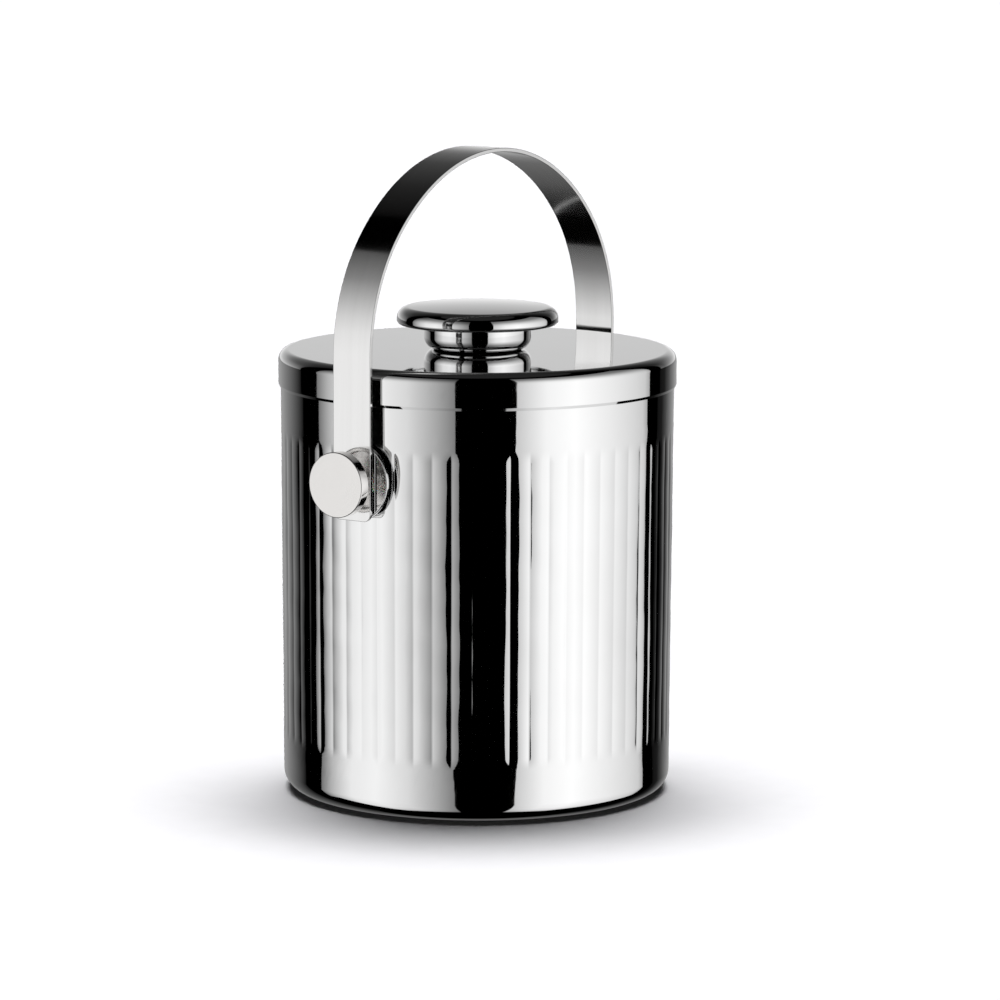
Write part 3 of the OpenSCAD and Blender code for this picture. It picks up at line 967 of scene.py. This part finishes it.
class StrapEnd:
    """A flat end of the strap. side is -1 or 1."""

    def __init__(self, skin, side, join_z, mark_start):
        self.skin = skin
        self.side = side
        self.out = Vector((side, 0, 0))
        self.join_z = join_z
        self.mark_start = mark_start

    def at(self, spot, depth):
        """A point from its place on the flat (across, up) and its depth below the outer face."""
        return self.out * (STRAP_R - depth) + Vector((0, spot.x, spot.y))

    def put(self, corners, spots):
        marks = [(self.mark_start + self.side * (spot.y - self.join_z), spot.x) for spot in spots]
        self.skin.face(*corners, marks=marks)

    def rounded_edge(self, border):
        """The strip's rounded edge, carried round the border."""
        edge = [row for row in strap_section() if row[0].x > STRAP_HALF - 1.01 * STRAP_EDGE]
        for (spot, spoke), (after, after_spoke) in zip(border, border[1:]):
            for (point, _, normal_out), (point_after, normal_in, _) in zip(edge, edge[1:]):
                corners = []
                spots = []
                ends = ((spot, spoke, point, normal_out), (after, after_spoke, point, normal_out),
                        (after, after_spoke, point_after, normal_in), (spot, spoke, point_after, normal_in))
                for place, ray, profile, normal in ends:
                    moved = place - ray * (STRAP_HALF - profile.x)
                    turned = Vector((0, ray.x, ray.y)) * normal.x - self.out * normal.y
                    corners.append((self.at(moved, profile.y), turned))
                    spots.append(moved)
                self.put(corners, spots)

    def faces(self, loop, hole):
        """The outer and inner faces, between their border and the hole."""
        for depth, normal in ((0.0, self.out), (STRAP_T, -self.out)):
            for i in range(len(loop)):
                spots = [loop[i - 1], loop[i], hole[i], hole[i - 1]]
                self.put([(self.at(spot, depth), normal) for spot in spots], spots)

    def hole_wall(self, hole, centre):
        for i in range(len(hole)):
            spots = [hole[i - 1], hole[i - 1], hole[i], hole[i]]
            corners = []
            for spot, depth in zip(spots, (0.0, STRAP_T, STRAP_T, 0.0)):
                ray = (centre - spot).normalized()
                corners.append((self.at(spot, depth), Vector((0, ray.x, ray.y))))
            self.put(corners, spots)


def strap_end(skin, side, join_z, mark_start):
    """A flat end with rounded corners and a hole for the bush."""
    border = end_border(join_z)
    inner_half = STRAP_HALF - 2 * STRAP_EDGE
    joined = [row[0].x for row in strap_section() if row[0].y == 0 and abs(row[0].x) < inner_half]
    loop = [spot - spoke * STRAP_EDGE for spot, spoke in border]
    loop += [Vector((x, join_z)) for x in sorted(joined)]
    centre = Vector((0, PIVOT_Z))
    hole = [centre + (spot - centre).normalized() * BUSH_R for spot in loop]
    end = StrapEnd(skin, side, join_z, mark_start)
    end.rounded_edge(border)
    end.faces(loop, hole)
    end.hole_wall(hole, centre)


def bail():
    join_z = PIVOT_Z + STRAP_FLAT
    skin = Skin()
    length = sweep_strap(skin, strap_stations(join_z))
    strap_end(skin, -1, join_z, 0.0)
    strap_end(skin, 1, join_z, length)
    skin.piece("bail_strap", "handle", "strap_steel", "handle_strap")


# ---------------------------------------------------------------- carried-over CAD nodes

def finish_carried():
    for node, slot in (("wall_insulation", "foam"), ("floor_insulation", "foam"), ("lid_insulation", "foam"),
                       ("left_backing_plate", "satin_steel"), ("right_backing_plate", "satin_steel")):
        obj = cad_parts[node]
        obj.data.materials.clear()
        obj.data.materials.append(FINISH[slot])


# ---------------------------------------------------------------- camera

VIEW_AZIMUTH = -54.6
CAMERA_AWAY = 2.0003
CAMERA_HIGH = 0.42025
CAMERA_DOWN = 8.78
CAMERA_ASIDE = 0.25
CAMERA_ROLL = 0.19
CAMERA_LENS = 190.47


def make_camera():
    data = bpy.data.cameras.new("camera")
    data.lens = CAMERA_LENS
    data.sensor_width = 36
    data.clip_end = 30
    camera = bpy.data.objects.new("camera", data)
    bpy.context.scene.collection.objects.link(camera)
    around = math.radians(VIEW_AZIMUTH)
    turn = Matrix.Rotation(around - math.radians(CAMERA_ASIDE), 4, "Z")
    tilt = Matrix.Rotation(math.radians(90 - CAMERA_DOWN), 4, "X")
    roll = Matrix.Rotation(math.radians(CAMERA_ROLL), 4, "Z")
    spot = Vector((math.sin(around) * CAMERA_AWAY, -math.cos(around) * CAMERA_AWAY, CAMERA_HIGH))
    camera.matrix_world = Matrix.Translation(spot) @ turn @ tilt @ roll
    bpy.context.scene.camera = camera


# ---------------------------------------------------------------- studio

STUDIO_R = 4.0
STUDIO_MIDDLE = Vector((0, 0, 0.1))
REFLECTIVITY = 0.9


def linear(level):
    """Light for an 8-bit grey level."""
    share = level / 255
    return share / 12.92 if share < 0.04 else ((share + 0.055) / 1.055) ** 2.4


def studio_point(azimuth, elevation):
    """A point of the studio's sphere, with azimuth counted from the camera's side."""
    a, e = math.radians(VIEW_AZIMUTH + azimuth), math.radians(elevation)
    away = Vector((math.sin(a) * math.cos(e), -math.cos(a) * math.cos(e), math.sin(e)))
    return STUDIO_MIDDLE + STUDIO_R * away


def ramp(look, value, stops, low_value, high_value):
    """A smooth ramp of grey levels over stops of (place, level)."""
    made = look.node("ShaderNodeValToRGB", {"Fac": value})
    elements = made.color_ramp.elements
    while len(elements) > 1:
        elements.remove(elements[-1])
    for i, (spot, level) in enumerate(stops):
        share = (spot - low_value) / (high_value - low_value)
        element = elements[0] if i == 0 else elements.new(share)
        element.position = share
        element.color = (level, level, level, 1)
    return made.outputs["Color"]


def panel_mesh(name, start, end, top, foot):
    """A patch of the studio's sphere. foot is stops of (azimuth, lowest elevation). Its marks run from 0 to 1
    in azimuth (u), and in elevation from the lowest foot to the top (v)."""
    bottom = min(e for _, e in foot)
    columns, rows = 64, 32
    points = []
    marks = []
    for i in range(rows + 1):
        for j in range(columns + 1):
            azimuth = start + (end - start) * j / columns
            edge = between_stops(foot, azimuth)
            elevation = edge + (top - edge) * i / rows
            points.append(tuple(studio_point(azimuth, elevation)))
            marks.append((j / columns, (elevation - bottom) / (top - bottom)))
    faces = []
    for i in range(rows):
        for j in range(columns):
            a = i * (columns + 1) + j
            faces.append((a, a + 1, a + columns + 2, a + columns + 1))
    mesh = bpy.data.meshes.new(name)
    mesh.from_pydata(points, [], faces)
    layer = mesh.uv_layers.new(name="marks")
    layer.data.foreach_set("uv", [c for face in faces for at in face for c in marks[at]])
    return mesh, bottom


def between_stops(stops, at):
    """A value interpolated between stops of (place, value), which holds beyond the first and last of them."""
    if at <= stops[0][0]:
        return stops[0][1]
    for (a, value), (b, after) in zip(stops, stops[1:]):
        if at <= b:
            return value + (after - value) * (at - a) / (b - a)
    return stops[-1][1]


def light_panel(name, sideways, upward, foot=None):
    """A curved panel that only reflections see, and that throws no light on a matt surface by way of a
    mirror. sideways is stops of (azimuth from the camera, grey level), and upward stops of (elevation, share
    of the light)."""
    start, end = sideways[0][0], sideways[-1][0]
    top = upward[-1][0]
    mesh, bottom = panel_mesh(name, start, end, top, foot or [(start, upward[0][0])])
    look = new_look(name)
    split = look.node("ShaderNodeSeparateXYZ", {0: look.place("UV")})
    levels = [(azimuth, linear(grey_level) / REFLECTIVITY) for azimuth, grey_level in sideways]
    across = ramp(look, split.outputs[0], levels, start, end)
    rising = ramp(look, split.outputs[1], [stop for stop in upward if stop[0] >= bottom], bottom, top)
    product = look.node("ShaderNodeVectorMath", {0: across, 1: rising}, operation="MULTIPLY").outputs[0]
    bounces = look.node("ShaderNodeLightPath", {}).outputs["Diffuse Depth"]
    strength = look.between(bounces, 1.0, 0.0, 0.0, 1.0)
    glow = look.node("ShaderNodeEmission", {"Color": product, "Strength": strength})
    look.node("ShaderNodeOutputMaterial", {"Surface": glow.outputs[0]})
    look.owner.cycles.emission_sampling = "NONE"
    mesh.materials.append(look.owner)
    panel = bpy.data.objects.new(name, mesh)
    bpy.context.scene.collection.objects.link(panel)
    panel.visible_camera = False
    panel.visible_diffuse = False
    panel.visible_shadow = False
    panel.visible_transmission = False


# stops of (elevation, share of the light)
SOFTBOX_RISE = [(-58, 0.5), (-50, 0.75), (-40, 0.9), (-17, 1), (-3, 0.985), (7.6, 0.92), (15.7, 0.767),
                (34.9, 0.285), (38.4, 0.25), (47.2, 0.17)]
REAR_RISE = [(-0.5, 1.7), (3, 1.55), (9, 1.07), (12.5, 0.86), (15.9, 0.63), (19.8, 0.4), (23.8, 0.27),
             (35, 0.115), (50, 0.047), (62, 0.03)]
REAR_FALL = [(-60, 0.3), (-53, 0.42), (-49, 0.54), (-30, 0.7), (-22.6, 1.02), (-16, 1.5), (-10, 1.8),
             (-0.5, 1.8)]
# stops of (azimuth from the camera, grey level)
LEFT_LEVELS = [(-105, 110), (-95, 178), (-79, 231), (-62, 240), (-41, 215), (-34, 196), (-12.6, 124)]
RIGHT_LEVELS = [(22.3, 198), (40, 243), (58, 255), (84, 234), (104, 214), (112, 202), (117, 165)]
REAR_LEVELS = [(130, 10), (137, 19), (144, 53), (166, 119), (180, 124), (202, 110), (232, 46), (238, 8)]
# stops of (azimuth from the camera, lowest elevation)
LEFT_FOOT = [(-105, -30), (-96, -30), (-84, -40), (-70, -54), (-60, -58), (-12, -58)]
RIGHT_FOOT = [(22, -58), (60, -58), (80, -50), (100, -40), (117, -30)]
REAR_LIFT = 60
CEILING_LEVEL = 35


def make_lights():
    light_panel("left_softbox", LEFT_LEVELS, SOFTBOX_RISE, LEFT_FOOT)
    light_panel("right_softbox", RIGHT_LEVELS, SOFTBOX_RISE, RIGHT_FOOT)
    light_panel("rear_low", REAR_LEVELS, REAR_FALL)
    light_panel("rear_high", [(azimuth, REAR_LIFT + level) for azimuth, level in REAR_LEVELS], REAR_RISE)
    light_panel("ceiling", [(0, CEILING_LEVEL), (360, CEILING_LEVEL)], [(REAR_RISE[-1][0], 1), (90, 1)])


FLOOR_R = 7.0
OVERHEAD_STRENGTH = 31.5
OVERHEAD_COLOUR = (0.984, 0.981, 1.0, 1)


def make_floor():
    mesh = bpy.data.meshes.new("floor")
    rim = [(FLOOR_R * math.cos(a), FLOOR_R * math.sin(a), 0) for a in even_angles(96)]
    mesh.from_pydata(rim, [], [tuple(range(len(rim)))])
    look = new_look("floor_paint")
    grain = look.noise(look.place(), 90, 3)
    colour = look.mixed(look.between(grain, 0, 1), (0.93, 0.93, 0.935, 1), (0.945, 0.945, 0.95, 1))
    mesh.materials.append(look.finished(Base_Color=colour, Roughness=0.9, Specular_IOR_Level=0.0))
    floor = bpy.data.objects.new("floor", mesh)
    bpy.context.scene.collection.objects.link(floor)
    floor.visible_glossy = False


def make_world():
    """A white horizon, and a soft light overhead and a little behind that gives the shadow on the floor."""
    world = bpy.data.worlds.new("studio")
    look = Look(world)
    way = look.place("Generated")
    around = math.radians(VIEW_AZIMUTH)
    rear = (-math.sin(around), math.cos(around), 0)
    behind = look.node("ShaderNodeVectorMath", {0: way, 1: rear}, operation="DOT_PRODUCT").outputs["Value"]
    height = look.node("ShaderNodeSeparateXYZ", {0: way}).outputs[2]
    sideways = look.between(behind, 0.0, OVERHEAD_STRENGTH, -0.112, 0.487)
    upwards = look.between(height, 0.0, 1.0, 0.876, 0.977)
    horizon = look.between(height, 1.0, 0.0, 0.12, 0.2)
    level = look.sum("ADD", look.sum("MULTIPLY", sideways, upwards), horizon)
    background = look.node("ShaderNodeBackground", {"Color": OVERHEAD_COLOUR, "Strength": level})
    look.node("ShaderNodeOutputWorld", {"Surface": background.outputs[0]})
    world.cycles_visibility.glossy = False
    bpy.context.scene.world = world


# ---------------------------------------------------------------- the whole scene

body_shell()
ice_liner()
base_cover()
foot()
lid_skin()
lid_pan()
rim_seal()
knob_top()
knob_disc()
knob_stem()
stud()
stud_washer()
stud_nut()
for pivot_side, pivot_word in ((-1, "left"), (1, "right")):
    button(pivot_side, pivot_word)
    spacer(pivot_side, pivot_word)
    slip_washer(pivot_side, pivot_word)
    bush(pivot_side, pivot_word)
    lock_nut(pivot_side, pivot_word)
bail()
finish_carried()
make_camera()
make_lights()
make_floor()
make_world()
bpy.context.scene.view_settings.view_transform = "Standard"
